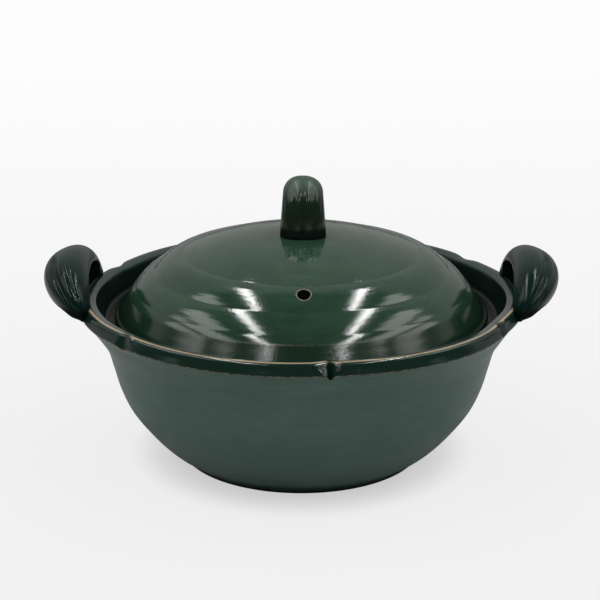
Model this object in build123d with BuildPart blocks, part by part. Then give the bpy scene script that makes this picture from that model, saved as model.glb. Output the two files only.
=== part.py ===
from build123d import *
import math
import os

os.makedirs("parts", exist_ok=True)

# Lengths are millimetres. The origin is the middle of the foot on the table, +Z is up,
# +X points at the right handle and -Y is the front, where the steam hole is.

# Bowl, outside
foot_radius = 73.4
foot_height = 3.0
foot_inset = 1.0
foot_ring_width = 8.0
foot_recess = 3.6
neck_height = 84.0
neck_inset = 4.0
collar_hollow = 0.7
rim_radius = 128.0
rim_rise = 15.2
rim_width = 7.5
rim_fall = 1.4
rim_round = 0.7
band_height = 7.0
band_flare = 2.7
band_hollow = 0.5

# Bowl, inside
wall = 7.5
floor_thickness = 8.0
ledge_drop = 14.2
ledge_lean = 3.9
ledge_width = 10.6
ledge_nose = 3.0

# Belly outline between foot and neck: shares of the step in radius and in height
belly_shares = [
    (0.0, 0.0),
    (0.158, 0.062),
    (0.307, 0.148),
    (0.458, 0.259),
    (0.612, 0.395),
    (0.713, 0.543),
    (0.782, 0.704),
    (0.854, 0.852),
    (1.0, 1.0),
]

# Six notches pressed into the rim
notch_count = 6
notch_turn = 6.0
notch_width = 12.5
notch_depth = 3.7
petal_rise = 3.2
petal_shoulder = 1.5

# Lid
lid_seat_gap = 0.3
lid_play = 5.6
lid_brim_width = 7.2
lid_brim_thickness = 3.0
lid_brim_round = 0.9
lid_height = 50.9
lid_wall = 6.5
dome_step = 3.7
dome_roundness = 1.9
dome_edge_share = 0.985
throwing_ring_shares = [0.0, 0.16, 0.30, 0.43, 0.55, 0.66, 0.76, 0.85, 0.925, dome_edge_share]
throwing_swell = 0.22
brim_flare_share = 0.55
steam_hole_diameter = 7.8
steam_hole_share = 0.737
steam_hole_turn = 1.0

# Strap handles on the pot
handle_stand_off = 4.6
handle_base_drop = 0.6
handle_half_length = 30.6
handle_arch = 12.9
handle_lean = 24.0
handle_foot_lean = 38.0
handle_foot_width = 14.4
handle_crown_width = 28.4
handle_foot_thickness = 12.0
handle_crown_thickness = 13.3
handle_root_drop = 3.4
handle_root_inset = 7.2
handle_root_width = 10.6
handle_root_thickness = 9.0

# Strap handle on the lid
knob_half_length = 9.0
knob_arch = 23.8
knob_base_lift = -1.2
knob_foot_width = 26.0
knob_crown_width = 21.6
knob_foot_thickness = 9.0
knob_crown_thickness = 10.5
knob_root_drop = 5.0
knob_offset = 1.0

# Shape of every strap: shares of its half width and of its thickness
groove_place_share = 0.32
groove_height_share = 0.86
rib_place_share = 0.78
rib_height_share = 0.68
edge_height_share = 0.12
inner_corner_share = 0.80
inner_face_share = 0.20
arch_fullness = 0.85
station_count = 7

# Clearances
luting_gap = 0.08
overrun = 5.0

# Places that follow from the sizes above
neck_radius = rim_radius - neck_inset
rim_height = neck_height + rim_rise
ledge_height = rim_height - ledge_drop
ledge_outer_radius = rim_radius - rim_width - ledge_lean
ledge_inner_radius = ledge_outer_radius - ledge_width
lid_brim_radius = ledge_outer_radius - lid_play
dome_radius = lid_brim_radius - lid_brim_width
handle_ring_radius = rim_radius + handle_stand_off
handle_base_height = rim_height - handle_base_drop


def belly_points(extra=0.0):
    """Points of the bowl's outside from the foot up to the neck."""
    step_out = neck_radius - foot_radius
    step_up = neck_height - foot_height
    return [
        (foot_radius + extra + out * step_out, foot_height + up * step_up)
        for out, up in belly_shares
    ]


def inner_belly_points():
    """The same outline moved in by the wall, between the floor and the ledge."""
    outer = belly_points()
    moved = []
    for below, here, above in zip(outer, outer[1:], outer[2:]):
        along = Vector(above[0] - below[0], above[1] - below[1]).normalized()
        moved.append((here[0] - wall * along.Y, here[1] + wall * along.X))
    return moved[:-1]


def polar(radius, degrees):
    """A plan point at an angle counted from the front, positive to the right."""
    angle = math.radians(degrees)
    return (radius * math.sin(angle), -radius * math.cos(angle))


# Pot body: one revolved outline, then the notches
crest_edge = (rim_radius, rim_height)
inner_lip = (rim_radius - rim_width, rim_height - rim_fall)
band_edge = (rim_radius + band_flare, rim_height - band_height)
neck = (neck_radius, neck_height)
floor_top = foot_recess + floor_thickness
ring_inner = foot_radius - foot_inset - foot_ring_width

notch_half_angle = math.degrees(notch_width / rim_radius) / 2
notch_step = 360 / notch_count
notch_floor_radius = rim_radius - notch_depth
petal_radius = rim_radius + petal_rise
shoulder_radius = rim_radius + petal_shoulder

with BuildPart() as pot_body:
    with BuildSketch(Plane.XZ) as section:
        with BuildLine():
            Polyline(
                (0, floor_top),
                (0, foot_recess),
                (ring_inner, foot_recess),
                (ring_inner, 0),
                (foot_radius - foot_inset, 0),
                (foot_radius, foot_height),
            )
            Spline(*belly_points())
            SagittaArc(neck, band_edge, collar_hollow)
            SagittaArc(band_edge, crest_edge, band_hollow)
            Line(crest_edge, inner_lip)
            Polyline(
                inner_lip,
                (ledge_outer_radius, ledge_height),
                (ledge_inner_radius, ledge_height),
                (ledge_inner_radius, ledge_height - ledge_nose),
            )
            Spline(
                (ledge_inner_radius, ledge_height - ledge_nose),
                *reversed(inner_belly_points()),
                (0, floor_top),
                tangents=[(0, -1), (-1, 0)],
            )
        make_face()
        for corner, radius in (
            (crest_edge, rim_round),
            (inner_lip, rim_round),
            (band_edge, rim_round),
        ):
            fillet(section.vertices().sort_by_distance(corner)[0], radius)
    revolve(axis=Axis.Z)
    with BuildSketch(Plane.XY.offset(neck_height)) as outside_petals:
        Circle(rim_radius + rim_width + overrun)
        with BuildLine():
            for index in range(notch_count):
                middle = notch_turn + index * notch_step
                left = middle - notch_half_angle
                right = middle + notch_half_angle
                following = left + notch_step
                ThreePointArc(
                    polar(shoulder_radius, left),
                    polar(notch_floor_radius, middle),
                    polar(shoulder_radius, right),
                )
                ThreePointArc(
                    polar(shoulder_radius, right),
                    polar(petal_radius, middle + notch_step / 2),
                    polar(shoulder_radius, following),
                )
        make_face(mode=Mode.SUBTRACT)
    extrude(amount=rim_height - neck_height + overrun, mode=Mode.SUBTRACT)
pot_body.part.label = "pot_body"
export_step(pot_body.part, "parts/pot_body.step")

# The bed that the side handles are luted onto: the pot's outside, a seam larger
seam_crest = (rim_radius + luting_gap, rim_height + luting_gap)
seam_band = (rim_radius + band_flare + luting_gap, rim_height - band_height)
seam_neck = (neck_radius + luting_gap, neck_height)

with BuildPart() as handle_bed:
    with BuildSketch(Plane.XZ):
        with BuildLine():
            Polyline(
                seam_crest,
                (0, rim_height + luting_gap),
                (0, foot_height),
                belly_points(luting_gap)[0],
            )
            Spline(*belly_points(luting_gap))
            SagittaArc(seam_neck, seam_band, collar_hollow)
            SagittaArc(seam_band, seam_crest, band_hollow)
        make_face()
    revolve(axis=Axis.Z)


def strap_station(place, across, outward, width, thickness):
    """One closed cross-section of a pulled strap: three ribs outside, a soft face inside."""
    half = width / 2
    left_groove = (-half * groove_place_share, thickness * groove_height_share)
    right_groove = (half * groove_place_share, thickness * groove_height_share)
    left_edge = (-half, thickness * edge_height_share)
    right_edge = (half, thickness * edge_height_share)
    left_inner = (-half * inner_corner_share, -thickness * edge_height_share)
    right_inner = (half * inner_corner_share, -thickness * edge_height_share)
    corner_place = half * (1 + inner_corner_share) / 2
    plane = Plane(origin=place, x_dir=across, z_dir=across.cross(outward))
    with BuildSketch(plane) as station:
        with BuildLine():
            ThreePointArc(
                left_edge,
                (-half * rib_place_share, thickness * rib_height_share),
                left_groove,
            )
            ThreePointArc(left_groove, (0, thickness), right_groove)
            ThreePointArc(
                right_groove,
                (half * rib_place_share, thickness * rib_height_share),
                right_edge,
            )
            ThreePointArc(
                right_edge,
                (corner_place, -thickness * edge_height_share / 2),
                right_inner,
            )
            ThreePointArc(right_inner, (0, -thickness * inner_face_share), left_inner)
            ThreePointArc(
                left_inner,
                (-corner_place, -thickness * edge_height_share / 2),
                left_edge,
            )
        make_face()
    return station.sketch


def arch_angles():
    """Angles along an arch, from the front foot at -90 to the back foot at +90."""
    return [-90 + 180 * index / (station_count - 1) for index in range(station_count)]


def side_point(along, out, up):
    """A point of the right handle, with its length wrapped round the rim."""
    turn = along / handle_ring_radius
    return Vector(out * math.cos(turn), out * math.sin(turn), up)


def side_path(degrees):
    """The middle of the strap's inner face at one angle of the arch."""
    angle = math.radians(degrees)
    lift = abs(math.cos(angle)) ** arch_fullness
    lean = math.radians(handle_lean)
    return side_point(
        handle_half_length * math.sin(angle),
        handle_ring_radius + handle_arch * lift * math.sin(lean),
        handle_base_height + handle_arch * lift * math.cos(lean),
    )


def across_at(along, lean_degrees):
    """Direction across the strap: outwards and, by the lean, down."""
    turn = along / handle_ring_radius
    lean = math.radians(lean_degrees)
    radial = Vector(math.cos(turn), math.sin(turn), 0)
    return radial * math.cos(lean) - Vector(0, 0, 1) * math.sin(lean)


def side_root(end):
    """The cross-section inside the pot's wall at one end, -1 for the front one."""
    along = end * handle_half_length
    place = side_point(
        along,
        handle_ring_radius - handle_root_inset,
        handle_base_height - handle_root_drop,
    )
    turn = along / handle_ring_radius
    outward = Vector(-math.sin(turn), math.cos(turn), 0) * end
    across = across_at(along, handle_foot_lean)
    return strap_station(place, across, outward, handle_root_width, handle_root_thickness)


def side_stations():
    """Cross-sections of a side handle from the front root, over the crown, to the back one."""
    stations = [side_root(-1)]
    nudge = 1.0
    for degrees in arch_angles():
        lift = abs(math.cos(math.radians(degrees))) ** arch_fullness
        along = handle_half_length * math.sin(math.radians(degrees))
        before = side_path(max(degrees - nudge, -90))
        after = side_path(min(degrees + nudge, 90))
        lean = handle_foot_lean + (handle_lean - handle_foot_lean) * lift
        across = across_at(along, lean)
        outward = across.cross(after - before).normalized()
        across = (after - before).cross(outward).normalized()
        width = handle_foot_width + (handle_crown_width - handle_foot_width) * lift
        thickness = handle_foot_thickness + (handle_crown_thickness - handle_foot_thickness) * lift
        stations.append(strap_station(side_path(degrees), across, outward, width, thickness))
    stations.append(side_root(1))
    return stations


with BuildPart() as right_handle:
    loft(side_stations())
    add(handle_bed.part, mode=Mode.SUBTRACT)
right_handle.part.label = "right_handle"
export_step(right_handle.part, "parts/right_handle.step")

with BuildPart() as left_handle:
    mirror(right_handle.part, about=Plane.YZ)
left_handle.part.label = "left_handle"
export_step(left_handle.part, "parts/left_handle.step")


# Lid
lid_base = ledge_height + lid_seat_gap
brim_top = lid_base + lid_brim_thickness
apex_height = lid_base + lid_height
dome_base = brim_top + dome_step
dome_rise = apex_height - dome_base
inner_radius = dome_radius - lid_wall
inner_rise = lid_height - lid_wall


def dome_height(radius, extra=0.0):
    """Height of the dome's outside over a radius."""
    share = min(radius / dome_radius, 1.0)
    return dome_base + extra + dome_rise * (1 - share**dome_roundness) ** (1 / dome_roundness)


def hollow_point(degrees):
    """A point of the hollow's outline, from the apex at 0 to the brim at 90."""
    angle = math.radians(degrees)
    power = 2 / dome_roundness
    return (
        inner_radius * abs(math.sin(angle)) ** power,
        lid_base + inner_rise * abs(math.cos(angle)) ** power,
    )


def dome_points(extra=0.0):
    """The valleys between the throwing rings, from the apex to the dome's edge."""
    radii = [share * dome_radius for share in throwing_ring_shares]
    return [(radius, dome_height(radius, extra)) for radius in radii]


hollow_angles = [90, 70, 45, 20, 0]
dome_edge = dome_points()[-1]
brim_start = (dome_edge[0] + (lid_brim_radius - dome_edge[0]) * brim_flare_share, brim_top)
brim_edge = (lid_brim_radius, brim_top)
flare_middle = (
    dome_edge[0] + (brim_start[0] - dome_edge[0]) * (1 - math.cos(math.radians(45))),
    brim_top + (dome_edge[1] - brim_top) * (1 - math.sin(math.radians(45))),
)

hole_place = polar(steam_hole_share * dome_radius, steam_hole_turn)

with BuildPart() as lid:
    with BuildSketch(Plane.XZ) as section:
        with BuildLine():
            for inside, outside in zip(dome_points(), dome_points()[1:]):
                SagittaArc(inside, outside, throwing_swell)
            ThreePointArc(dome_edge, flare_middle, brim_start)
            Polyline(
                brim_start,
                brim_edge,
                (lid_brim_radius, lid_base),
                (inner_radius, lid_base),
            )
            Spline(
                *[hollow_point(degrees) for degrees in hollow_angles],
                tangents=[(0, 1), (-1, 0)],
            )
            Line((0, apex_height - lid_wall), (0, apex_height))
        make_face()
        for corner in (brim_edge, (lid_brim_radius, lid_base)):
            fillet(section.vertices().sort_by_distance(corner)[0], lid_brim_round)
    revolve(axis=Axis.Z)
    with BuildSketch(Plane.XY.offset(lid_base)):
        with Locations(hole_place):
            Circle(steam_hole_diameter / 2)
    extrude(amount=lid_height + overrun, mode=Mode.SUBTRACT)
lid.part.label = "lid"
export_step(lid.part, "parts/lid.step")

# The bed that the lid's handle is luted onto: the dome's outside, a seam larger
with BuildPart() as knob_bed:
    with BuildSketch(Plane.XZ):
        with BuildLine():
            bed_points = dome_points(luting_gap)
            for inside, outside in zip(bed_points, bed_points[1:]):
                SagittaArc(inside, outside, throwing_swell)
            Polyline(bed_points[-1], (0, bed_points[-1][1]), bed_points[0])
        make_face()
    revolve(axis=Axis.Z)


def knob_path(degrees):
    """The middle of the lid handle's inner face at one angle of its arch."""
    angle = math.radians(degrees)
    lift = abs(math.cos(angle)) ** arch_fullness
    return Vector(
        knob_offset,
        knob_half_length * math.sin(angle),
        apex_height + knob_base_lift + knob_arch * lift,
    )


def knob_root(end):
    """The cross-section inside the dome at one end, -1 for the front one."""
    place = knob_path(end * 90) - Vector(0, 0, knob_root_drop)
    outward = Vector(0, end, 0)
    return strap_station(place, Vector(1, 0, 0), outward, knob_foot_width, knob_foot_thickness)


def knob_stations():
    """Cross-sections of the lid handle from the front root, over the crown, to the back one."""
    stations = [knob_root(-1)]
    nudge = 1.0
    across = Vector(1, 0, 0)
    for degrees in arch_angles():
        lift = abs(math.cos(math.radians(degrees))) ** arch_fullness
        along = knob_path(min(degrees + nudge, 90)) - knob_path(max(degrees - nudge, -90))
        outward = across.cross(along).normalized()
        width = knob_foot_width + (knob_crown_width - knob_foot_width) * lift
        thickness = knob_foot_thickness + (knob_crown_thickness - knob_foot_thickness) * lift
        stations.append(strap_station(knob_path(degrees), across, outward, width, thickness))
    stations.append(knob_root(1))
    return stations


with BuildPart() as lid_handle:
    loft(knob_stations())
    add(knob_bed.part, mode=Mode.SUBTRACT)
lid_handle.part.label = "lid_handle"
export_step(lid_handle.part, "parts/lid_handle.step")
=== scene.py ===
"""A glazed donabe on a pale studio floor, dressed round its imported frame."""

import logging
import math
from dataclasses import dataclass
from enum import Enum
from typing import Any, Dict, List, Optional, Sequence, Tuple, Union

import bpy
import numpy as np
from mathutils import Matrix, Vector


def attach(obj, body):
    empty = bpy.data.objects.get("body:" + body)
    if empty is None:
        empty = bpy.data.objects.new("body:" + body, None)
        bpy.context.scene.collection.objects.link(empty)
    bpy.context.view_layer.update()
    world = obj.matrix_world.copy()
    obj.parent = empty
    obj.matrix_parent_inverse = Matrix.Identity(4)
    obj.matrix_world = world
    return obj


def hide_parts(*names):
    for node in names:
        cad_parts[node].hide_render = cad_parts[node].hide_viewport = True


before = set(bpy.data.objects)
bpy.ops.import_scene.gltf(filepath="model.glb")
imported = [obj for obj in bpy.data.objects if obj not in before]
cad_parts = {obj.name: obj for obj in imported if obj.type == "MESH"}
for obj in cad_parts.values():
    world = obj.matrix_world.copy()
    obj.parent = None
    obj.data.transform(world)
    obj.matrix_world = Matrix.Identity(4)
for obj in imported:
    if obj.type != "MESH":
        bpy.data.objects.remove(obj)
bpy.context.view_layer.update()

logging.basicConfig(level=logging.INFO, format="%(message)s")
log = logging.getLogger("donabe")

MM = 0.001
GOLDEN_ANGLE = 2.39996
Pair = Tuple[float, float]
Colour = Tuple[float, float, float]
Corner = Tuple[float, float, float]
Faces = List[Tuple[int, ...]]
Operand = Union["Tone", float]


# Shader maths


class Tone:
    """One number that varies over a surface, held as a socket."""

    def __init__(self, kiln: "Kiln", socket: bpy.types.NodeSocket) -> None:
        self.kiln = kiln
        self.socket = socket

    def _maths(self, operation: str, *values: Any) -> "Tone":
        """Adds a Math node and returns its result."""
        node = self.kiln.node("ShaderNodeMath", dict(enumerate(values)), operation=operation)
        return Tone(self.kiln, node.outputs[0])

    def __add__(self, other: Operand) -> "Tone":
        return self._maths("ADD", self, other)

    def __sub__(self, other: Operand) -> "Tone":
        return self._maths("SUBTRACT", self, other)

    def __rsub__(self, other: float) -> "Tone":
        return self._maths("SUBTRACT", other, self)

    def __mul__(self, other: Operand) -> "Tone":
        return self._maths("MULTIPLY", self, other)

    __radd__ = __add__
    __rmul__ = __mul__

    def clamp(self) -> "Tone":
        """Keeps the value between 0 and 1."""
        return self._maths("MAXIMUM", self._maths("MINIMUM", self, 1.0), 0.0)

    def rise(self, start: float, end: float) -> "Tone":
        """Goes smoothly from 0 at start to 1 at end.

        Args:
            start: value that gives 0.
            end: value that gives 1.

        Returns:
            The stepped tone.
        """
        inputs = {"Value": self, "From Min": start, "From Max": end}
        node = self.kiln.node("ShaderNodeMapRange", inputs, interpolation_type="SMOOTHSTEP")
        return Tone(self.kiln, node.outputs[0])


class Kiln:
    """Builds the nodes of one material, or of the world."""

    def __init__(self, owner: Union[bpy.types.Material, bpy.types.World]) -> None:
        owner.use_nodes = True
        self.owner = owner
        self.tree = owner.node_tree
        self.tree.nodes.clear()
        self.place = self.node("ShaderNodeTexCoord").outputs["Object"]

    def node(
        self, kind: str, inputs: Optional[Dict[Any, Any]] = None, **settings: Any
    ) -> bpy.types.Node:
        """Adds one node.

        Args:
            kind: the node's type name.
            inputs: socket name or number to a value, a grey, a socket or a Tone.
            settings: properties that are set first.

        Returns:
            The new node.
        """
        made = self.tree.nodes.new(kind)
        for key, value in settings.items():
            setattr(made, key, value)
        for key, value in (inputs or {}).items():
            socket = made.inputs[key]
            if isinstance(value, Tone):
                value = value.socket
            if isinstance(value, bpy.types.NodeSocket):
                self.tree.links.new(value, socket)
            elif socket.type == "RGBA":
                colour = (value,) * 3 if isinstance(value, float) else value
                socket.default_value = (*colour, 1.0)
            else:
                socket.default_value = value
        return made

    def speckle(self, scale: float, detail: float = 2.0, stretch: Corner = (1, 1, 1)) -> Tone:
        """Noise over the object.

        Args:
            scale: how many blots to a metre.
            detail: octaves.
            stretch: scale along each axis.

        Returns:
            Noise about 0.5.
        """
        place = self.node("ShaderNodeMapping", {"Vector": self.place, "Scale": stretch})
        inputs = {"Vector": place.outputs[0], "Scale": scale, "Detail": detail}
        return Tone(self, self.node("ShaderNodeTexNoise", inputs).outputs["Fac"])

    def painted(self, name: str) -> Tone:
        """A weight painted on the mesh's points."""
        node = self.node("ShaderNodeAttribute", attribute_name=name)
        return Tone(self, node.outputs["Fac"])

    def blend(self, amount: Tone, below: Any, above: Any) -> bpy.types.NodeSocket:
        """Lays one colour, grey or socket over another, at an amount of 0 to 1."""
        inputs = {0: amount, 6: below, 7: above}
        return self.node("ShaderNodeMix", inputs, data_type="RGBA").outputs[2]

    def relief(self, height: Tone, distance: float) -> bpy.types.NodeSocket:
        """Turns a height into a bent normal."""
        inputs = {"Height": height, "Distance": distance, "Strength": 1.0}
        return self.node("ShaderNodeBump", inputs).outputs[0]


# Glazes


class Weight(Enum):
    """Weights painted on the meshes' points."""

    # Where the glaze runs thin on edges; on the pot it also holds a painted highlight along the
    # neck crease.
    BREAK = "glaze_break_and_highlight"
    BARE = "bare_clay"
    POOL = "glaze_pool"
    # Painted shade: where this weight is painted, the glaze gives way to a plain dark matt shader.
    SHADE = "painted_shade"


@dataclass(frozen=True)
class Glaze:
    """One glaze: its colours, gloss and small relief, and the colour of its painted shade."""

    name: str
    deep: Colour
    thin: Colour
    pooled: Colour
    broken: Colour
    roughness: float
    pooled_roughness: float
    ior: float = 1.6
    orange_peel: float = 0.00005
    # Colour of the painted shade, laid where the SHADE weight is painted.
    shade: Colour = (0.003, 0.008, 0.006)
    clay: Colour = (0.012, 0.006, 0.006)
    clay_roughness: float = 0.60
    worn_roughness: float = 0.15
    cloud_scale: float = 28.0
    streak_scale: float = 60.0
    peel_scale: float = 1100.0
    fleck_scale: float = 700.0
    clay_grain: float = 3.0

    def fire(self) -> bpy.types.Material:
        """Builds the material.

        Returns:
            A material that follows the weights painted on a mesh.
        """
        kiln = Kiln(bpy.data.materials.new(self.name))
        cloud = kiln.speckle(self.cloud_scale, 4.0)
        streak = kiln.speckle(self.streak_scale, 3.0, (1.0, 1.0, 4.0))
        grain = kiln.speckle(self.peel_scale)
        fleck = kiln.speckle(self.fleck_scale)
        worn = (kiln.painted(Weight.BREAK.value) * (0.55 + fleck * 0.9)).clamp()
        bare = (kiln.painted(Weight.BARE.value) + (fleck - 0.5) * 0.25).rise(0.4, 0.6)
        pool = kiln.painted(Weight.POOL.value)
        mottle = cloud * 0.5 + streak * 0.5 + (fleck - 0.5) * 0.35
        body = kiln.blend(mottle.rise(0.32, 0.70), self.deep, self.thin)
        body = kiln.blend(pool, body, self.pooled)
        body = kiln.blend(worn.rise(0.15, 0.75), body, self.broken)
        colour = kiln.blend(bare, body, self.clay)
        rough = self.roughness + pool * (self.pooled_roughness - self.roughness)
        rough = rough + worn * self.worn_roughness
        rough = rough + bare * (self.clay_roughness - self.roughness)
        height = grain + bare * fleck * self.clay_grain
        normal = kiln.relief(height, self.orange_peel)
        inputs = {"Base Color": colour, "Roughness": rough.clamp(), "Normal": normal}
        glaze = kiln.node("ShaderNodeBsdfPrincipled", {**inputs, "IOR": self.ior})
        # Painted shade: a dark matt shader replaces the glaze where the SHADE weight is painted.
        dark = kiln.node("ShaderNodeBsdfDiffuse", {"Color": self.shade})
        shade_weight = kiln.painted(Weight.SHADE.value)
        both = kiln.node("ShaderNodeMixShader", {0: shade_weight, 1: glaze.outputs[0], 2: dark.outputs[0]})
        kiln.node("ShaderNodeOutputMaterial", {"Surface": both.outputs[0]})
        return kiln.owner


# Mesh helpers


def rise(start: float, end: float, value: Any) -> Any:
    """Smooth step of a number or an array, 0 at start and 1 at end."""
    share = np.clip((np.asarray(value, float) - start) / (end - start), 0.0, 1.0)
    return share * share * (3 - 2 * share)


def bell(value: Any, width: float) -> Any:
    """A bell of height 1 and the given half width."""
    return np.exp(-((np.asarray(value, float) / width) ** 2))


def through(points: Sequence[Pair], step: float) -> np.ndarray:
    """A smooth line through points.

    Args:
        points: places in mm.
        step: about how far apart the new points are.

    Returns:
        An array of places.
    """
    pts = np.array(points, float)
    ends = np.vstack([2 * pts[0] - pts[1], pts, 2 * pts[-1] - pts[-2]])
    out = []
    for p0, p1, p2, p3 in zip(ends, ends[1:], ends[2:], ends[3:]):
        length = np.linalg.norm(p2 - p1)
        count = max(2, int(length / step))
        t = (np.arange(count) / count)[:, None]
        m1 = (p2 - p0) / (length + np.linalg.norm(p1 - p0)) * length
        m2 = (p3 - p1) / (length + np.linalg.norm(p3 - p2)) * length
        out.append(
            (2 * t**3 - 3 * t**2 + 1) * p1
            + (t**3 - 2 * t**2 + t) * m1
            + (-2 * t**3 + 3 * t**2) * p2
            + (t**3 - t**2) * m2
        )
    return np.vstack(out + [pts[-1:]])


def rounded(corners: Sequence[Corner], step: float) -> np.ndarray:
    """A line with rounded corners.

    Args:
        corners: radius, height and corner radius of each corner in mm.
        step: about how far apart the points of the straight runs are.

    Returns:
        An array of places.
    """
    pts = np.array([c[:2] for c in corners], float)
    line = [pts[0]]
    for index in range(1, len(pts) - 1):
        here, size = pts[index], corners[index][2]
        back, ahead = pts[index - 1] - here, pts[index + 1] - here
        back_length, ahead_length = np.linalg.norm(back), np.linalg.norm(ahead)
        back, ahead = back / back_length, ahead / ahead_length
        half = math.acos(float(np.clip(back @ ahead, -1, 1))) / 2
        cut = min(size / math.tan(half), 0.48 * back_length, 0.48 * ahead_length)
        for t in np.linspace(0, 1, 7):
            start, end = here + back * cut, here + ahead * cut
            line.append((1 - t) ** 2 * start + 2 * t * (1 - t) * here + t * t * end)
    line.append(pts[-1])
    out = []
    for a, b in zip(line, line[1:]):
        count = max(1, int(round(np.linalg.norm(b - a) / step)))
        out.extend(a + (b - a) * k / count for k in range(count))
    return np.array(out + [line[-1]])


def waver(angle: np.ndarray, seed: float, orders: Sequence[int]) -> np.ndarray:
    """A steady irregular wave round a circle.

    Args:
        angle: places round the circle in radians.
        seed: which of many such waves.
        orders: how many times each part of the wave goes up and down.

    Returns:
        The wave, about -1 to 1.
    """
    total = np.zeros_like(angle)
    for place, order in enumerate(orders):
        total = total + np.sin(order * angle + seed * (place + 1) * GOLDEN_ANGLE) / len(orders)
    return total


def nearest(line: np.ndarray, place: Pair) -> int:
    """Row of the point that lies closest to a place."""
    return int(np.argmin(np.hypot(line[:, 0] - place[0], line[:, 1] - place[1])))


def make_piece(
    name: str, points: np.ndarray, faces: Faces, weights: Dict[Weight, np.ndarray]
) -> bpy.types.Object:
    """Makes a smooth mesh object from points in mm.

    Args:
        name: the piece's name.
        points: an array of places.
        faces: corners of each face.
        weights: painted weights, one number to a point.

    Returns:
        The new object.
    """
    mesh = bpy.data.meshes.new(name)
    mesh.from_pydata((points * MM).tolist(), [], faces)
    for key in Weight:
        layer = mesh.attributes.new(key.value, "FLOAT", "POINT")
        layer.data.foreach_set("value", weights.get(key, np.zeros(len(points))).astype(np.float32))
    mesh.shade_smooth()
    mesh.validate()
    piece = bpy.data.objects.new(name, mesh)
    bpy.context.scene.collection.objects.link(piece)
    return piece


def turned_faces(rows: int, columns: int) -> Faces:
    """Faces of a turned form whose first and last points lie on the axis.

    Args:
        rows: points along the outline.
        columns: points round the axis.

    Returns:
        The corners of each face.
    """
    faces: Faces = []
    last = 1 + (rows - 2) * columns
    for column in range(columns):
        following = (column + 1) % columns
        faces.append((0, 1 + following, 1 + column))
        for row in range(rows - 3):
            a = 1 + row * columns
            b = a + columns
            faces.append((a + column, a + following, b + following, b + column))
        a = 1 + (rows - 3) * columns
        faces.append((a + column, a + following, last))
    return faces


def tube_faces(rows: int, columns: int) -> Faces:
    """Faces of a tube with a flat face at each end.

    Args:
        rows: rings along the tube.
        columns: points in each ring.

    Returns:
        The corners of each face.
    """
    faces: Faces = []
    for row in range(rows - 1):
        for column in range(columns):
            following = (column + 1) % columns
            a, b = row * columns, (row + 1) * columns
            faces.append((a + column, b + column, b + following, a + following))
    faces.append(tuple(range(columns)))
    faces.append(tuple(reversed(range((rows - 1) * columns, rows * columns))))
    return faces


def spun(radius: Any, turn: np.ndarray, height: Any) -> np.ndarray:
    """Places at a radius and a height, turned from the front round the axis."""
    return np.stack([radius * np.sin(turn), -radius * np.cos(turn), height], -1)


def flatten(rows: np.ndarray) -> np.ndarray:
    """Puts a grid of rows in one list, with single points at both ends."""
    middle = rows[1:-1].reshape(-1, *rows.shape[2:])
    return np.concatenate([rows[:1, 0], middle, rows[-1:, 0]])


# Pieces


@dataclass
class Piece:
    """What every sub-assembly needs to be dressed and joined to the frame."""

    node: str
    body: str
    slot: str
    glaze: Glaze

    def settle(self, piece: bpy.types.Object) -> bpy.types.Object:
        """Glazes a piece and hands it to the frame.

        Args:
            piece: the mesh object.

        Returns:
            The same object.
        """
        piece.data.materials.append(self.glaze.fire())
        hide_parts(self.node)
        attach(piece, self.body)
        log.info("%s: %d points", piece.name, len(piece.data.vertices))
        return piece


@dataclass(frozen=True)
class BreakLine:
    """A line along an edge, its strength and half width: mostly where the glaze runs thin, but the
    edge shadow is a painted shadow and the neck line a painted highlight.
    """

    strength: float
    width: float

    def at(self, distance: Any) -> Any:
        """Strength at a distance from the edge."""
        return self.strength * bell(distance, self.width)


@dataclass(frozen=True)
class Notch:
    """One place where the rim was pressed in, in mm and degrees from the front.

    A facet with a reach and a tilt slopes down to the groove from the left, and a bead
    of clay stands at its right. The dip lowers the band's lower edge, the sag the crest.
    Dark is the strength of the painted shade laid in the groove.
    """

    azimuth: float
    groove: float = 4.0
    depth: float = 2.2
    reach: float = 0.0
    tilt: float = 0.0
    bead: float = 0.0
    dip: float = 2.0
    sag: float = 0.4
    # strength of the painted shade in the groove
    dark: float = 0.3
    facet_slope: Pair = (0.74, 0.67)
    facet_end: Pair = (-1.6, -0.5)
    bead_place: Pair = (2.5, 2.7)
    bead_radius: float = 2.0
    bead_squash: float = 0.72

    def press(self, arc: np.ndarray, down: np.ndarray) -> np.ndarray:
        """How deep the rim is pressed in.

        Args:
            arc: distance along the rim from the groove.
            down: distance below the crest.

        Returns:
            The depth of the groove and of the sloping facet beside it.
        """
        depth = self.depth * bell(arc, self.groove)
        if self.reach:
            aside, below = self.facet_slope
            start, end = (share * self.groove for share in self.facet_end)
            cut = ((arc + self.reach) * aside - np.maximum(down, 0.0) * below) * self.tilt
            depth = np.maximum(depth, np.clip(cut, 0.0, None) * (1 - rise(start, end, arc)))
        return depth

    def nub(self, arc: np.ndarray, down: np.ndarray) -> np.ndarray:
        """The small bead of clay that the tool pushed aside, in mm.

        Args:
            arc: distance along the rim from the groove.
            down: distance below the crest.

        Returns:
            How far the bead stands out.
        """
        aside = arc - self.groove - self.bead_place[0]
        below = (down - self.bead_place[1]) * self.bead_squash
        share = np.hypot(aside, below) / self.bead_radius
        return self.bead * np.sqrt(np.clip(1 - share**2, 0, 1))


class RimLine:
    """The pot's outline, its running length and the rim's edges on it."""

    def __init__(self, line: np.ndarray, lip: Pair, neck: Pair) -> None:
        steps = np.linalg.norm(np.diff(line, axis=0), axis=1)
        run = np.concatenate([[0], np.cumsum(steps)])
        self.line = line
        self.along = run[:, None]
        self.index = np.arange(len(line))[:, None]
        self.crest = int(np.argmax(line[:, 1]))
        self.edge = int(np.argmax(line[:, 0]))
        self.lip = self.crest + nearest(line[self.crest :], lip)
        self.crest_run, self.edge_run = run[self.crest], run[self.edge]
        self.lip_run, self.neck_run = run[self.lip], run[nearest(line, neck)]


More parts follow.
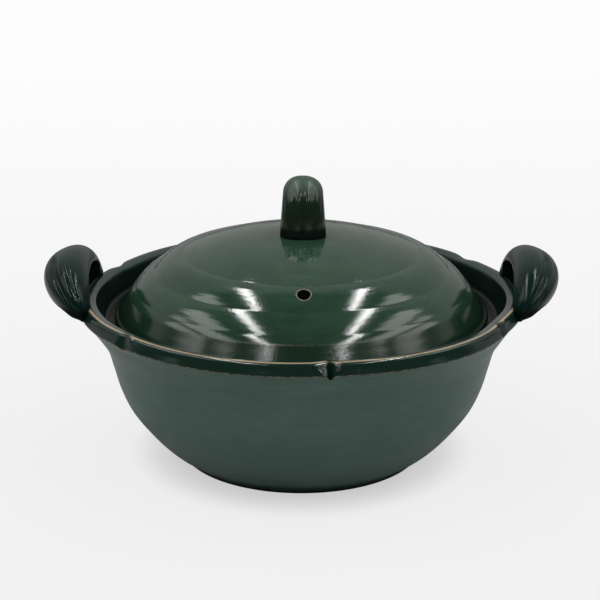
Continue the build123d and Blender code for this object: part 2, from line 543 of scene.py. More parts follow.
@dataclass
class PotBody(Piece):
    """The bowl: foot ring, belly, collar, pressed rim, ledge and well."""

    columns: int = 1200
    foot: Sequence[Corner] = (
        (0.0, 3.6, 0), (64.4, 3.6, 0.8), (64.4, 0.0, 0.7), (72.4, 0.0, 0.8), (73.4, 3.0, 0),
    )
    belly: Sequence[Pair] = (
        (73.4, 3.0), (81.4, 8.0), (88.95, 15.0), (96.6, 24.0), (104.35, 35.0),
        (109.46, 47.0), (113.0, 60.0), (116.6, 72.0), (123.6, 83.4),
    )
    rim: Sequence[Corner] = (
        (123.6, 83.4, 0), (124.1, 84.1, 0.8), (126.6, 88.0, 9.0), (130.6, 92.3, 1.0),
        (128.9, 96.0, 8.0), (128.0, 99.2, 1.9), (124.5, 98.9, 4.0), (120.6, 97.8, 1.6),
        (116.8, 85.0, 3.0), (106.0, 85.0, 0.8), (105.2, 80.0, 0),
    )
    well: Sequence[Pair] = (
        (105.2, 80.0), (104.2, 68.0), (102.0, 50.0), (97.5, 36.0), (88.0, 22.0),
        (74.0, 14.0), (56.0, 11.9), (30.0, 11.6), (0.0, 11.6),
    )
    plan: Sequence[Pair] = (
        (-180, 0.6), (-160, 1.6), (-146, 1.8), (-131, 0.4), (-120, -0.8), (-107, 0.2), (-93, 1.0),
        (-79, 1.0), (-62, 0.3), (-53, -0.8), (-44, -0.8), (-31, -0.6), (-20, -0.3), (-5, -0.4),
        (6, -0.9), (14, -0.2), (24, 1.0), (38, 1.6), (49, 1.7), (59, 0.2), (66, -0.8), (74, 0.4),
        (90, 1.2), (108, 0.6), (116, -0.8), (126, -0.6), (134, 0.8), (146, 1.8), (162, 1.2),
    )
    notches: Sequence[Notch] = (
        Notch(6.9, 1.4, 3.0, 10.2, 0.42, 1.9, dip=3.6, sag=0.2, dark=0.6),
        Notch(61.5, 3.2, 1.0, 7.0, 0.2, 0.5, dip=1.6),
        Notch(124.0, 7.0, 1.8, dip=1.0, sag=0.8),
        Notch(186.0, 6.0),
        Notch(-115.0, 6.0),
        Notch(-50.0, 3.8, 1.2, 8.0, 0.15, 0.7, dip=2.2),
    )
    limit: float = 129.9
    rim_radius: float = 128.0
    lip_corner: Pair = (120.6, 97.8)
    neck_corner: Pair = (124.1, 84.1)
    rim_rows: int = 60
    outer_lobes: Pair = (80.0, 93.0)
    inner_lobes: Pair = (86.0, 97.0)
    wave: float = 0.25
    wave_heights: Pair = (60.0, 99.0)
    recess: Pair = (66.0, 4.5)
    bare_foot: Pair = (0.6, 2.6)
    ledge_height: float = 85.0
    ledge_shade: float = 0.45
    band_start: Pair = (-6.5, -0.5)
    band_end: float = 7.0
    band_fall: float = 0.75
    front_range: Pair = (-0.25, 0.5)
    front_floor: float = 0.25
    gloss_start: Pair = (-1.5, 0.5)
    inner_shade: float = 0.85
    core_share: float = 1.15
    under_edge: float = 3.0
    crest_sag: float = 3.5
    crest_line: BreakLine = BreakLine(1.0, 0.9)
    lip_line: BreakLine = BreakLine(0.3, 0.8)
    edge_line: BreakLine = BreakLine(0.36, 0.4)
    # painted highlight along the neck crease, in the glaze-break colour
    neck_highlight: BreakLine = BreakLine(0.32, 0.4)
    groove_line: BreakLine = BreakLine(0.4, 0.8)
    edge_shadow: BreakLine = BreakLine(0.25, 2.2)

    def profile(self) -> np.ndarray:
        """The outline from the middle of the foot, over the rim, to the middle of the well.

        Returns:
            An array of radii and heights.
        """
        foot, belly = rounded(self.foot, 2.5), through(self.belly, 1.6)
        rim, well = rounded(self.rim, 0.45), through(self.well, 3.0)
        return np.vstack([foot, belly[1:], rim[1:], well[1:]])

    def lobes(self, azimuth: np.ndarray) -> np.ndarray:
        """How far the rim stands out or in.

        Args:
            azimuth: degrees from the front.

        Returns:
            The distance in mm at each azimuth.
        """
        table = np.array(self.plan, float)
        x = np.concatenate([table[:, 0] - 360, table[:, 0], table[:, 0] + 360])
        y = np.tile(table[:, 1], 3)
        grid = np.arange(-200.0, 201.0, 1.0)
        blur = bell(np.arange(-6, 7), 3.5)
        soft = np.convolve(np.interp(grid, x, y), blur, "same")
        return np.interp(azimuth, grid, soft / blur.sum())

    def spread(self) -> np.ndarray:
        """Azimuths of the columns, closest together at the notches.

        Returns:
            Degrees from the front.
        """
        grid = np.linspace(-180, 180, 7201)
        dense = np.ones_like(grid)
        for notch in self.notches:
            dense = dense + 3.0 * bell((grid - notch.azimuth + 180) % 360 - 180, 5.0)
        share = np.concatenate([[0], np.cumsum((dense[1:] + dense[:-1]) / 2)])
        return np.interp(np.linspace(0, 1, self.columns, endpoint=False), share / share[-1], grid)

    def thrown(self, rim: RimLine, azimuth: np.ndarray) -> Tuple[np.ndarray, np.ndarray]:
        """The turned form before the notches, with its lobed rim and slight wave.

        Args:
            rim: the outline.
            azimuth: degrees of the columns.

        Returns:
            Radius and height of every point.
        """
        radius = np.repeat(rim.line[:, :1], self.columns, 1)
        height = np.repeat(rim.line[:, 1:], self.columns, 1)
        near = rim.index < rim.lip + self.rim_rows
        outer, inner = rise(*self.outer_lobes, height), rise(*self.inner_lobes, height)
        share = np.where(rim.index <= rim.crest, outer, inner) * near
        radius = radius + self.lobes(azimuth) * share
        wave = waver(np.radians(azimuth)[None, :], 1.7, (2, 3, 5)) * self.wave
        return radius, height + wave * rise(*self.wave_heights, height) * near

    def band(self, rim: RimLine) -> np.ndarray:
        """How much of a notch's depth each row of the rim takes.

        Args:
            rim: the outline.

        Returns:
            One share to a row.
        """
        band = rise(*self.band_start, rim.along - rim.edge_run)
        band = band * (1 - self.band_fall * rise(rim.crest_run, rim.lip_run + 1.0, rim.along))
        return band * (1 - rise(rim.lip_run, rim.lip_run + self.band_end, rim.along))

    def glazed(self, rim: RimLine, turn: np.ndarray) -> Tuple[np.ndarray, np.ndarray, np.ndarray]:
        """Where the glaze breaks, where it is glossy, and where shade is painted, before the
        notches.

        Args:
            rim: the outline.
            turn: angles of the columns.

        Returns:
            The three weights at every point.
        """
        along, from_edge = rim.along, rim.along - rim.edge_run
        front = rise(*self.front_range, np.cos(turn))
        front = self.front_floor + (1 - self.front_floor) * front
        patchy = 1 + 0.3 * waver(turn, 3.1, (5, 9, 16, 27))
        dotted = 1 + 0.5 * waver(turn, 1.3, (83, 137, 211))
        upper = self.crest_line.at(along - rim.crest_run) + self.lip_line.at(along - rim.lip_run)
        broken = upper * front * patchy + self.edge_line.at(from_edge) * dotted * front
        # Painted highlight: a thin pale line in the glaze-break colour along the crease under the
        # collar.
        broken = broken + self.neck_highlight.at(along - rim.neck_run) * patchy
        gloss = rise(*self.gloss_start, from_edge) + np.zeros_like(turn)
        # Painted shade inside the rim and down the well, and a painted shadow under the band's
        # lower edge.
        shade = rise(rim.crest_run + 5.0, rim.lip_run + 3.0, along) * self.inner_shade
        shade = shade + self.edge_shadow.at(from_edge - 2.6) + np.zeros_like(turn)
        return broken, gloss, shade

    def build(self) -> bpy.types.Object:
        """Turns the outline, presses the notches, and paints the glaze and its painted shade.

        Returns:
            The pot's object.
        """
        rim = RimLine(self.profile(), self.lip_corner, self.neck_corner)
        azimuth = self.spread()
        turn = np.radians(azimuth)[None, :]
        radius, height = self.thrown(rim, azimuth)
        broken, gloss, shade = self.glazed(rim, turn)
        band = self.band(rim)
        from_edge, down = rim.along - rim.edge_run, rim.crest_run - rim.along
        below = bell(from_edge, self.under_edge)
        for notch in self.notches:
            arc = (azimuth - notch.azimuth + 180) % 360 - 180
            arc = (np.radians(arc) * self.rim_radius)[None, :]
            press = notch.press(arc, down)
            core = bell(arc, notch.groove * self.core_share)
            radius = radius + (notch.nub(arc, down) - press) * band
            height = height - notch.dip * core * below
            height = height - notch.sag * press / notch.depth * bell(down, self.crest_sag)
            # Painted shade: the groove of each notch is darkened and dulled.
            inside = core * rise(-1.0, 1.0, from_edge) * (down > -1.0)
            broken = broken * (1 - 0.8 * inside) + core * below * self.groove_line.at(from_edge)
            shade = np.maximum(shade, notch.dark * inside)
        underside = rim.index < rim.edge
        foot = (1 - rise(*self.bare_foot, height)) * underside
        recess = (radius < self.recess[0]) & (height < self.recess[1]) & underside
        ledge = (np.abs(rim.line[:, 1:] - self.ledge_height) < 0.6) & (rim.index > rim.lip)
        # Less painted shade on the bare ledge.
        shade = shade * (1 - self.ledge_shade * ledge)
        points = spun(radius, turn, height)
        points[..., 1] = np.clip(points[..., 1], -self.limit, self.limit)
        points[..., 2] = np.clip(points[..., 2], 0.0, None)
        weights = {
            Weight.BREAK: flatten(np.clip(broken, 0, 1.5)),
            Weight.BARE: flatten(np.clip(foot + recess + ledge, 0, 1)),
            Weight.POOL: flatten(gloss),
            Weight.SHADE: flatten(np.clip(shade, 0, 1)),
        }
        faces = turned_faces(len(rim.line), self.columns)
        return self.settle(make_piece("pot", flatten(points), faces, weights))


@dataclass
class Lid(Piece):
    """The lid: thrown dome, flared brim, hollow and steam hole."""

    columns: int = 720
    base: float = 85.3
    brim_radius: float = 111.0
    brim_thickness: float = 3.0
    brim_bend: Corner = (107.8, 0.4, 9.0)
    apex: float = 136.2
    dome_radius: float = 103.8
    dome_rise: float = 44.2
    roundness: float = 1.9
    wall: float = 6.5
    rings: Sequence[Corner] = (
        (0.0, 0.0, 0.08), (13.0, 0.0, 0.08), (25.0, 0.0, 0.08), (37.0, 0.0, 0.08),
        (49.0, 0.0, 0.06), (60.5, 0.0, 0.05), (69.6, 0.0, 1.50), (87.4, -0.80, 0.50),
        (98.6, -0.45, 0.0), (101.6, 0.35, 0.0),
    )
    ring_wander: float = 0.25
    wander_start: Pair = (40.0, 60.0)
    wander_end: Pair = (96.0, 101.0)
    fine_depth: float = 0.016
    fine_pitch: float = 2.6
    fine_start: float = 60.0
    edge_line: BreakLine = BreakLine(0.35, 0.45)
    brim_waver: float = 0.14
    brim_pool: float = 0.6
    brim_shade: float = 0.8
    brim_shade_span: Pair = (105.5, 108.5)
    brown_front: Pair = (0.80, 0.97)
    hole_radius: float = 77.0
    hole_turn: float = 1.0
    hole_size: float = 7.8
    hole_sides: int = 96
    hole_reach: float = 15.0
    hole_step: float = 0.4
    hole_line: BreakLine = BreakLine(1.2, 0.35)

    def dome(self, radius: Any) -> Any:
        """Height of the smooth dome over a radius."""
        share = np.clip(np.asarray(radius, float) / self.dome_radius, 0, 1)
        return self.apex - self.dome_rise * (
            1 - (1 - share**self.roundness) ** (1 / self.roundness)
        )

    def throwing(self, radius: np.ndarray) -> np.ndarray:
        """How far the throwing rings stand proud of the smooth dome.

        Args:
            radius: distances from the axis in mm.

        Returns:
            The height above the dome at each.
        """
        table = np.array(self.rings)
        lift = np.interp(radius, table[:, 0], table[:, 1])
        for inside, outside in zip(self.rings, self.rings[1:]):
            share = (radius - inside[0]) / (outside[0] - inside[0])
            here = (share >= 0) & (share < 1)
            lift = lift + np.where(here, 4 * share * (1 - share), 0) * inside[2]
        return lift

    def surface(self, radius: Any) -> Any:
        """Height of the dome with its throwing rings."""
        return self.dome(radius) + self.throwing(np.asarray(radius, float))

    def profile(self) -> np.ndarray:
        """The outline from the middle of the hollow, round the brim, to the apex.

        Returns:
            An array of radii and heights.
        """
        inner_radius = self.dome_radius - self.wall
        power = 2 / self.roundness
        angles = np.radians(np.linspace(0, 90, 46))
        across = inner_radius * np.sin(angles) ** power
        up = (self.apex - self.wall - self.base) * np.maximum(np.cos(angles), 0) ** power
        edge, top = self.rings[-1][0], self.base + self.brim_thickness
        bend_radius, bend_rise, bend_round = self.brim_bend
        corners = (
            (inner_radius, self.base, 0),
            (self.brim_radius, self.base, 0.9),
            (self.brim_radius, top, 1.2),
            (bend_radius, top + bend_rise, bend_round),
            (edge, float(self.dome(edge)) + self.rings[-1][1], 0),
        )
        fine = np.linspace(edge, self.fine_start, 130)[1:]
        radii = np.concatenate([fine, np.linspace(self.fine_start, 0, 60)[1:]])
        hollow = np.stack([across, self.base + up], -1)
        dome = np.stack([radii, self.dome(radii)], -1)
        return np.vstack([hollow, rounded(corners, 0.6)[1:], dome])

    def build(self) -> bpy.types.Object:
        """Turns the outline, opens the steam hole, paints its broken edge and paints shade on the
        brim.

        Returns:
            The lid's object.
        """
        line = self.profile()
        rows = len(line)
        turn = np.radians(np.linspace(-180, 180, self.columns, endpoint=False))[None, :]
        radius = np.repeat(line[:, :1], self.columns, 1)
        height = np.repeat(line[:, 1:], self.columns, 1)
        outside = np.arange(rows)[:, None] > int(np.argmax(line[:, 0]))
        edge = self.rings[-1][0]
        free = rise(*self.wander_start, radius) * (1 - rise(*self.wander_end, radius))
        wander = self.ring_wander * waver(turn, 0.7, (1, 2, 3)) * free
        lift = self.throwing(radius + wander) * (radius < edge - 0.01)
        fine = np.sin(radius * self.fine_pitch + 1.5 * waver(turn, 2.1, (1, 2, 5)))
        fine = self.fine_depth * fine * rise(20, 60, radius)
        height = height + (lift + fine) * outside
        brown = self.edge_line.at(radius - edge) * (1 + waver(turn, 4.0, (3, 7, 11))) * outside
        brim = rise(edge - 0.5, edge + 1.0, radius) * outside
        ripple = self.brim_waver * waver(turn, 5.2, (7, 12, 19, 31)) * brim
        radius = radius + ripple * (radius < self.brim_radius - 1)
        under = (height < self.base + 0.5) & (radius > 100)
        points = spun(radius, turn, height)
        weights = {
            Weight.BREAK: flatten(brown * rise(*self.brown_front, np.cos(turn))),
            Weight.BARE: flatten(under.astype(float)),
            Weight.POOL: flatten(self.brim_pool * brim),
            # Painted shade on the outer edge of the brim.
            Weight.SHADE: flatten(self.brim_shade * rise(*self.brim_shade_span, radius) * outside),
        }
        piece = make_piece("dome", flatten(points), turned_faces(rows, self.columns), weights)
        self.pierce(piece)
        return self.settle(piece)

    def knife(self) -> bpy.types.Object:
        """A round bar as wide as the steam hole.

        Returns:
            The bar, standing in the hole's place.
        """
        turn = math.radians(self.hole_turn)
        place = Vector((math.sin(turn), -math.cos(turn), 0)) * self.hole_radius * MM
        place.z = float(self.surface(self.hole_radius)) * MM
        reach = self.hole_reach
        wall = [(self.hole_size / 2, up) for up in np.arange(-reach, reach, self.hole_step)]
        line = np.array([(0.0, -reach), *wall, (0.0, wall[-1][1])])
        turns = np.linspace(0, 2 * np.pi, self.hole_sides, endpoint=False)[None, :]
        ring = spun(line[:, :1], turns, line[:, 1:] + 0 * turns)
        faces = turned_faces(len(line), self.hole_sides)
        bar = make_piece("hole_knife", flatten(ring), faces, {})
        bar.location = place
        return bar

    def pierce(self, piece: bpy.types.Object) -> None:
        """Cuts the steam hole straight down through the dome, paints its broken edge and paints
        shade down its wall.

        Args:
            piece: the lid before it is pierced.
        """
        bar = self.knife()
        bpy.context.view_layer.update()
        middle = bar.location / MM
        cutter = piece.modifiers.new("steam hole", "BOOLEAN")
        cutter.operation, cutter.object, cutter.solver = "DIFFERENCE", bar, "EXACT"
        depsgraph = bpy.context.evaluated_depsgraph_get()
        cut = bpy.data.meshes.new_from_object(piece.evaluated_get(depsgraph))
        piece.modifiers.clear()
        piece.data = cut
        bpy.data.objects.remove(bar)
        co = np.zeros(len(cut.vertices) * 3)
        cut.vertices.foreach_get("co", co)
        co = co.reshape(-1, 3) / MM
        away = np.hypot(co[:, 0] - middle.x, co[:, 1] - middle.y) - self.hole_size / 2
        above = co[:, 2] > self.surface(np.hypot(co[:, 0], co[:, 1])) - self.hole_line.width
        for key, value in (
            (Weight.BREAK, self.hole_line.at(away) * above),
            # Painted shade down the wall of the steam hole.
            (Weight.SHADE, ((np.abs(away) < 0.1) & ~above).astype(float)),
        ):
            layer = cut.attributes[key.value]
            old = np.zeros(len(cut.vertices), np.float32)
            layer.data.foreach_get("value", old)
            layer.data.foreach_set("value", np.clip(old + value, 0, 1.5).astype(np.float32))


@dataclass(frozen=True)
class Groove:
    """A long groove of a pulled strap: place across it, width and depth, shares and mm."""

    place: float
    width: float
    depth: float
    drift: float = 0.0
    start: float = -90.0
    end: float = 90.0
    taper: float = 25.0

    def depth_at(self, share: np.ndarray, degrees: float) -> np.ndarray:
        """Depth of the groove in one cross-section.

        Args:
            share: places across the strap, -1 to 1.
            degrees: angle along the arch.

        Returns:
            The depth at each place.
        """
        middle = self.place + self.drift * math.sin(math.radians(degrees))
        fade = rise(self.start, self.start + self.taper, degrees)
        fade = fade * (1 - rise(self.end - self.taper, self.end, degrees))
        return self.depth * float(fade) * bell(share - middle, self.width)


@dataclass(frozen=True)
class Station:
    """One cross-section of a strap: its place, directions and sizes."""

    centre: np.ndarray
    across: np.ndarray
    outward: np.ndarray
    width: float
    thickness: float
    degrees: float

    def towards(self, other: "Station", share: float) -> "Station":
        """Eases from this station to another one.

        Args:
            other: the station at share 1.
            share: how far along, 0 to 1.

        Returns:
            The station between.
        """
        ease = share * share * (3 - 2 * share)
        across = self.across * (1 - ease) + other.across * ease
        outward = self.outward * (1 - ease) + other.outward * ease
        return Station(
            self.centre + (other.centre - self.centre) * share,
            across / np.linalg.norm(across),
            outward / np.linalg.norm(outward),
            self.width + (other.width - self.width) * ease,
            self.thickness + (other.thickness - self.thickness) * ease,
            other.degrees,
        )


@dataclass
class Strap(Piece):
    """A pulled clay strap bent into a loop, the base of all three handles."""

    name: str = "strap"
    half_length: float = 30.6
    arch: float = 12.9
    foot_width: float = 14.4
    crown_width: float = 28.4
    foot_thickness: float = 12.0
    crown_thickness: float = 13.3
    root_width: float = 7.5
    root_thickness: float = 9.0
    fullness: float = 0.85
    around: int = 120
    lengthwise: int = 150
    root_steps: int = 14
    seed: float = 1.0
    wobble: float = 0.10
    inner_bulge: float = 0.2
    skirt: float = 100.0
    gloss_band: Pair = (0.75, 1.0)
    # painted shade on the inner face and low down near the roots
    shade_band: Pair = (-0.05, 0.15)
    shade_strength: float = 0.9
    grooves: Sequence[Groove] = ()

    def lift(self, degrees: np.ndarray) -> np.ndarray:
        """Height share of the arch at an angle along it."""
        return np.abs(np.cos(np.radians(degrees))) ** self.fullness

    def route(self, degrees: np.ndarray) -> Tuple[np.ndarray, np.ndarray]:
        """Middle of the inner face and direction across, at angles along the arch."""
        raise NotImplementedError

    def roots(self) -> Tuple[np.ndarray, np.ndarray, np.ndarray]:
        """Places of the two buried ends and the directions across and outward there."""
        raise NotImplementedError

    def angles(self) -> np.ndarray:
        """Angles of the points round a cross-section, starting at its edge."""
        return np.linspace(0, 2 * np.pi, self.around, endpoint=False)

    def section(self, station: Station) -> np.ndarray:
        """One cross-section.

        Args:
            station: where it is and how large.

        Returns:
            The places round it.
        """
        angle = self.angles()
        cosine, sine = np.cos(angle), np.sin(angle)
        share = np.sign(cosine) * np.abs(cosine) ** 0.86
        outer = sine >= 0
        reach = station.thickness * np.where(outer, 1.0, self.inner_bulge)
        up = np.sign(sine) * np.abs(sine) ** np.where(outer, 0.98, 0.8) * reach
        for groove in self.grooves:
            up = up - groove.depth_at(share, station.degrees) * np.maximum(sine, 0.0) ** 0.3
        ripple = math.sin(station.degrees * 0.07 + self.seed) * np.sin(3 * angle + self.seed)
        up = (up + self.wobble * ripple * outer * sine)[:, None]
        across = (station.width / 2 * share)[:, None]
        return station.centre + across * station.across + up * station.outward

    def stations(self) -> List[Station]:
        """The cross-sections along the loop, root to root.

        Returns:
            The stations, front first.
        """
        degrees = np.linspace(-90, 90, self.lengthwise)
        nudge = 0.5
        place, across = self.route(degrees)
        after, before = np.minimum(degrees + nudge, 90), np.maximum(degrees - nudge, -90)
        ahead = self.route(after)[0] - self.route(before)[0]
        outward = np.cross(across, ahead)
        outward /= np.linalg.norm(outward, axis=1)[:, None]
        across = np.cross(ahead, outward)
        across /= np.linalg.norm(across, axis=1)[:, None]
        lift = self.lift(degrees)
        widths = self.foot_width + (self.crown_width - self.foot_width) * lift
        thick = self.foot_thickness + (self.crown_thickness - self.foot_thickness) * lift
        loop = [Station(*values) for values in zip(place, across, outward, widths, thick, degrees)]
        sizes = (self.root_width, self.root_thickness, 0.0)
        front, back = (Station(*ways, *sizes) for ways in zip(*self.roots()))
        shares = [step / self.root_steps for step in range(self.root_steps)]
        first = [front.towards(loop[0], share) for share in shares]
        last = [back.towards(loop[-1], share) for share in reversed(shares)]
        return first + loop + last

    def build(self) -> bpy.types.Object:
        """Sweeps the sections along the loop.

        Returns:
            The strap's object.
        """
        points = np.array([self.section(station) for station in self.stations()])
        faces = tube_faces(*points.shape[:2])
        weights = self.paint(points)
        return self.settle(make_piece(self.name, points.reshape(-1, 3), faces, weights))

    def paint(self, points: np.ndarray) -> Dict[Weight, np.ndarray]:
        """Where the glaze is glossy and thick low down, and where shade is painted: on the inner
        face and near the roots.

        Args:
            points: the swept grid of places.

        Returns:
            One list of numbers to each weight.
        """
        high = points[..., 2].max()
        up = (points[..., 2] - self.skirt) / (high - self.skirt)
        inner = rise(0.1, 0.6, -np.sin(self.angles()))[None, :]
        # Painted shade on the strap's inner face and on its lowest part.
        dark = self.shade_strength * (inner + 1 - rise(*self.shade_band, up))
        return {
            Weight.POOL: (1 - rise(*self.gloss_band, up)).reshape(-1),
            Weight.SHADE: np.clip(dark, 0, 1).reshape(-1),
        }


@dataclass
class SideHandle(Strap):
    """A handle of the pot, wrapped round its rim."""

    side: int = 1
    ring_radius: float = 132.6
    base_height: float = 98.6
    lean: float = 24.0
    foot_lean: float = 38.0
    root_drop: float = 5.2
    root_inset: float = 3.4

    def turned(self, along: Any, out: Any, up: Any) -> np.ndarray:
        """A place with its length wrapped round the rim, on this handle's side."""
        turn = along / self.ring_radius
        return np.stack([self.side * out * np.cos(turn), out * np.sin(turn), up + 0 * turn], -1)

    def across_at(self, along: Any, lean: Any) -> np.ndarray:
        """Direction across the strap.

        Args:
            along: length along the rim.
            lean: degrees by which the strap's edge points down.

        Returns:
            The direction at each place.
        """
        turn, tilt = along / self.ring_radius, np.radians(lean)
        out, aside = self.side * np.cos(turn) * np.cos(tilt), np.sin(turn) * np.cos(tilt)
        return self.side * np.stack([out, aside, -np.sin(tilt) + 0 * turn], -1)

    def route(self, degrees: np.ndarray) -> Tuple[np.ndarray, np.ndarray]:
        """The handle's line.

        Args:
            degrees: angles along the arch.

        Returns:
            Middle of the inner face and direction across.
        """
        lift = self.lift(degrees)
        along = self.half_length * np.sin(np.radians(degrees))
        lean = math.radians(self.lean)
        out = self.ring_radius + self.arch * lift * math.sin(lean)
        up = self.base_height + self.arch * lift * math.cos(lean)
        tilt = self.foot_lean + (self.lean - self.foot_lean) * lift
        return self.turned(along, out, up), self.across_at(along, tilt)

    def roots(self) -> Tuple[np.ndarray, np.ndarray, np.ndarray]:
        """The two ends that are buried in the rim.

        Returns:
            Their places and the directions across and outward there.
        """
        ends = np.array([-1.0, 1.0])
        along = ends * self.half_length
        turn = along / self.ring_radius
        out = self.ring_radius - self.root_inset
        place = self.turned(along, out, self.base_height - self.root_drop)
        outward = np.stack([-self.side * np.sin(turn) * ends, np.cos(turn) * ends, 0 * turn], -1)
        return place, self.across_at(along, self.foot_lean), outward


@dataclass
class LidKnob(Strap):
    """The upright loop on the lid."""

    name: str = "lid_strap"
    half_length: float = 9.0
    arch: float = 23.8
    foot_width: float = 27.2
    crown_width: float = 23.6
    foot_thickness: float = 9.0
    crown_thickness: float = 10.5
    root_width: float = 26.0
    fullness: float = 1.0
    skirt: float = 134.0
    gloss_band: Pair = (0.68, 0.90)
    shade_band: Pair = (0.17, 0.25)
    grooves: Sequence[Groove] = (
        Groove(0.03, 0.12, 1.2, 0.05, end=-15), Groove(0.5, 0.15, 0.8, end=-10),
        Groove(-0.5, 0.2, 0.6, end=-10),
    )
    offset: float = 1.0
    foot_height: float = 135.0
    root_drop: float = 5.0

    def route(self, degrees: np.ndarray) -> Tuple[np.ndarray, np.ndarray]:
        """The loop's line.

        Args:
            degrees: angles along the arch.

        Returns:
            Middle of the inner face and direction across.
        """
        up = self.foot_height + self.arch * self.lift(degrees)
        along = self.half_length * np.sin(np.radians(degrees))
        place = np.stack([self.offset + 0 * along, along, up], -1)
        return place, np.tile([1.0, 0.0, 0.0], (len(place), 1))

    def roots(self) -> Tuple[np.ndarray, np.ndarray, np.ndarray]:
        """The two ends that are buried in the dome.

        Returns:
            Their places and the directions across and outward there.
        """
        low, half = self.foot_height - self.root_drop, self.half_length
        place = np.array([[self.offset, -half, low], [self.offset, half, low]])
        outward = np.array([[0.0, -1.0, 0.0], [0.0, 1.0, 0.0]])
        return place, np.array([[1.0, 0.0, 0.0]] * 2), outward


# Studio


@dataclass(frozen=True)
class StripLamp:
    """One long lamp hung level over the object: its ends in plan, height, width and power."""

    name: str
    start: Pair
    end: Pair
    width: float = 0.020
    power: float = 7.0
    height: float = 1.0
    aim: float = 0.1

    def hang(self) -> None:
        """Puts the lamp in the scene, facing the object."""
        start, end = Vector((*self.start, self.height)), Vector((*self.end, self.height))
        along = (end - start).normalized()
        facing = (start + end) / 2 - Vector((0, 0, self.aim))
        facing = (facing - along * facing.dot(along)).normalized()
        turn = Matrix((along.cross(facing), along, facing)).transposed()
        data = bpy.data.lights.new(self.name, "AREA")
        data.shape, data.energy = "RECTANGLE", self.power
        data.size, data.size_y = self.width, (end - start).length
        lamp = bpy.data.objects.new(self.name, data)
        lamp.matrix_world = Matrix.Translation((start + end) / 2) @ turn.to_4x4()
        bpy.context.scene.collection.objects.link(lamp)


@dataclass
class Studio:
    """Floor, soft light, pale background and the camera."""

    elevation: float = 17.891
    distance: float = 1.024
    aim_height: float = 0.0933
    lens: float = 102.94
    sensor: float = 36.0
    shift: float = -0.00222
    clip: Pair = (0.01, 50.0)
    near_tone: float = 0.875
    far_tone: float = 0.985
    wall_tone: float = 0.39
    room_tone: float = 0.05
    bounce_tone: float = 0.54
    cloth_tone: float = 0.78
    painted_shadow_tone: float = 0.60
    painted_shadow_reach: float = 0.026
    glow_share: float = 0.91
    glow_reach: Pair = (0.12, 0.40)
    floor_depth: Pair = (-0.6, 1.6)
    floor_size: float = 12.0
    floor_drop: float = 0.0002
    wall_lean: float = 0.42
    wall_edge: float = 0.10
    lamps: Sequence[StripLamp] = (
        StripLamp("left strip", (-0.290, 0.46), (-0.55, -1.40)),
        StripLamp("right strip", (0.312, 0.46), (0.67, -1.40)),
        StripLamp("left panel", (-0.85, 0.30), (-1.10, -1.0), 0.30, 3.0),
        StripLamp("right panel", (0.85, 0.30), (1.10, -1.0), 0.30, 3.0),
        StripLamp("left low panel", (-1.55, 0.35), (-1.85, -0.8), 0.40, 2.8),
        StripLamp("right low panel", (1.55, 0.35), (1.85, -0.8), 0.40, 2.8),
    )

    def camera(self) -> None:
        """Puts the camera at the photograph's angle."""
        data = bpy.data.cameras.new("camera")
        data.lens, data.sensor_width, data.shift_x = self.lens, self.sensor, self.shift
        data.clip_start, data.clip_end = self.clip
        camera = bpy.data.objects.new("camera", data)
        tilt = math.radians(self.elevation)
        back, up = self.distance * math.cos(tilt), self.distance * math.sin(tilt)
        camera.location = (0.0, -back, self.aim_height + up)
        camera.rotation_euler = (math.pi / 2 - tilt, 0.0, 0.0)
        bpy.context.scene.collection.objects.link(camera)
        bpy.context.scene.camera = camera

    def floor(self) -> None:
        """Lays a plain pale floor that keeps the object's shadow, with a painted contact shadow
        round its foot.
        """
        bpy.ops.mesh.primitive_plane_add(size=self.floor_size, location=(0, 0, -self.floor_drop))
        floor = bpy.context.object
        floor.name = "floor"
        kiln = Kiln(bpy.data.materials.new("pale floor"))
        parts = kiln.node("ShaderNodeSeparateXYZ", {0: kiln.place})
        away = Tone(kiln, parts.outputs["Y"])
        seen = Tone(kiln, kiln.node("ShaderNodeLightPath").outputs["Is Camera Ray"])
        reach = kiln.node("ShaderNodeVectorMath", {0: kiln.place}, operation="LENGTH")
        clear = Tone(kiln, reach.outputs["Value"]).rise(*self.glow_reach)
        cover = self.glow_share + (1 - self.glow_share) * clear
        pale = kiln.blend(away.rise(*self.floor_depth), self.near_tone, self.far_tone)
        # Painted contact shadow: an ambient-occlusion node darkens the floor's glow round the
        # pot's foot.
        contact_shade = kiln.node("ShaderNodeAmbientOcclusion", {"Distance": self.painted_shadow_reach}, samples=12)
        shade = Tone(kiln, contact_shade.outputs["AO"]).rise(0.0, 0.9)
        pale = kiln.blend(shade, self.painted_shadow_tone, pale)
        glow = kiln.node("ShaderNodeEmission", {"Color": pale, "Strength": 1.0})
        cloth = kiln.blend(seen, self.bounce_tone, self.cloth_tone)
        matt = kiln.node("ShaderNodeBsdfDiffuse", {"Color": cloth})
        inputs = {0: seen * cover, 1: matt.outputs[0], 2: glow.outputs[0]}
        shown = kiln.node("ShaderNodeMixShader", inputs)
        kiln.node("ShaderNodeOutputMaterial", {"Surface": shown.outputs[0]})
        floor.data.materials.append(kiln.owner)

    def world(self) -> None:
        """A plain room, paler behind the object than overhead and in front."""
        world = bpy.data.worlds.new("studio")
        bpy.context.scene.world = world
        kiln = Kiln(world)
        place = kiln.node("ShaderNodeTexCoord").outputs["Generated"]
        parts = kiln.node("ShaderNodeSeparateXYZ", {0: place})
        height, depth = Tone(kiln, parts.outputs["Z"]), Tone(kiln, parts.outputs["Y"])
        wall = (depth - height * self.wall_lean).rise(-self.wall_edge, self.wall_edge)
        room = kiln.blend(wall, self.room_tone, self.wall_tone)
        seen = Tone(kiln, kiln.node("ShaderNodeLightPath").outputs["Is Camera Ray"])
        colour = kiln.blend(seen, room, self.far_tone)
        light = kiln.node("ShaderNodeBackground", {"Color": colour, "Strength": 1.0})
        kiln.node("ShaderNodeOutputWorld", {"Surface": light.outputs[0]})

    def build(self) -> None:
        """Sets up the whole studio."""
        self.camera()
        self.floor()
        self.world()
        for lamp in self.lamps:
            lamp.hang()


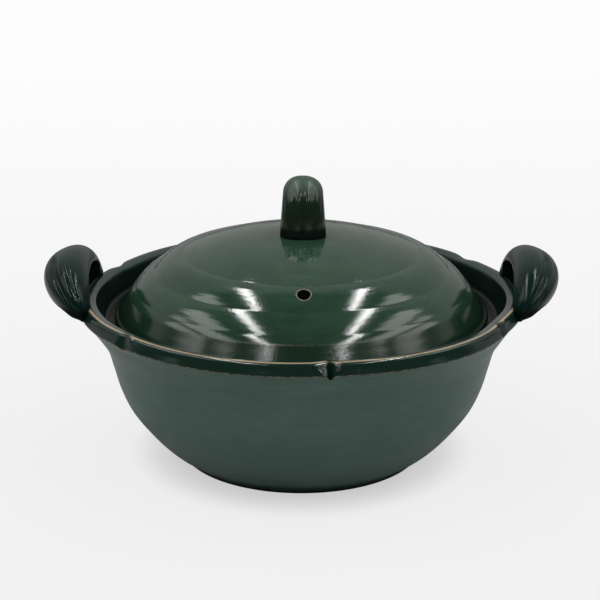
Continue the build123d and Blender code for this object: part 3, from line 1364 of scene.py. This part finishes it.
SATIN = Glaze(
    name="satin blue-green glaze",
    deep=(0.032, 0.087, 0.063),
    thin=(0.046, 0.109, 0.083),
    pooled=(0.007, 0.024, 0.016),
    broken=(0.34, 0.25, 0.15),
    roughness=0.36,
    pooled_roughness=0.10,
    ior=1.58,
)
GLOSS = Glaze(
    name="glossy green glaze",
    deep=(0.013, 0.038, 0.021),
    thin=(0.022, 0.055, 0.032),
    pooled=(0.003, 0.016, 0.006),
    broken=(0.26, 0.20, 0.14),
    roughness=0.10,
    pooled_roughness=0.20,
    orange_peel=0.00004,
)
HANDLE_GLAZE = Glaze(
    name="dark handle glaze",
    deep=(0.003, 0.016, 0.013),
    thin=(0.007, 0.023, 0.019),
    pooled=(0.002, 0.013, 0.010),
    broken=(0.16, 0.11, 0.06),
    roughness=0.28,
    pooled_roughness=0.20,
    ior=1.30,
    orange_peel=0.000004,
)
KNOB_GLAZE = Glaze(
    name="brown-green knob glaze",
    deep=(0.030, 0.056, 0.042),
    thin=(0.040, 0.068, 0.052),
    pooled=(0.009, 0.020, 0.009),
    broken=(0.16, 0.11, 0.06),
    roughness=0.36,
    pooled_roughness=0.08,
    ior=1.42,
    orange_peel=0.00001,
)


def main() -> None:
    """Builds the studio, the pot and its lid, and logs how many points each piece has."""
    bpy.context.scene.view_settings.view_transform = "Standard"
    Studio().build()
    PotBody("pot_body", "pot", "bowl_glaze", SATIN).build()
    Lid("lid", "lid", "gloss_glaze", GLOSS).build()
    SideHandle(
        "left_handle", "pot", "gloss_glaze", HANDLE_GLAZE, name="left_strap", side=-1, seed=1.0,
        grooves=(Groove(-0.20, 0.13, 2.3, 0.06, end=8), Groove(0.34, 0.10, 0.8, end=-20)),
    ).build()
    SideHandle(
        "right_handle", "pot", "gloss_glaze", HANDLE_GLAZE, name="right_strap", side=1, seed=3.0,
        grooves=(Groove(0.04, 0.14, 2.3, -0.06, end=8), Groove(0.55, 0.10, 0.5, end=-10)),
    ).build()
    LidKnob("lid_handle", "lid", "gloss_glaze", KNOB_GLAZE).build()


if __name__ == "__main__":
    main()
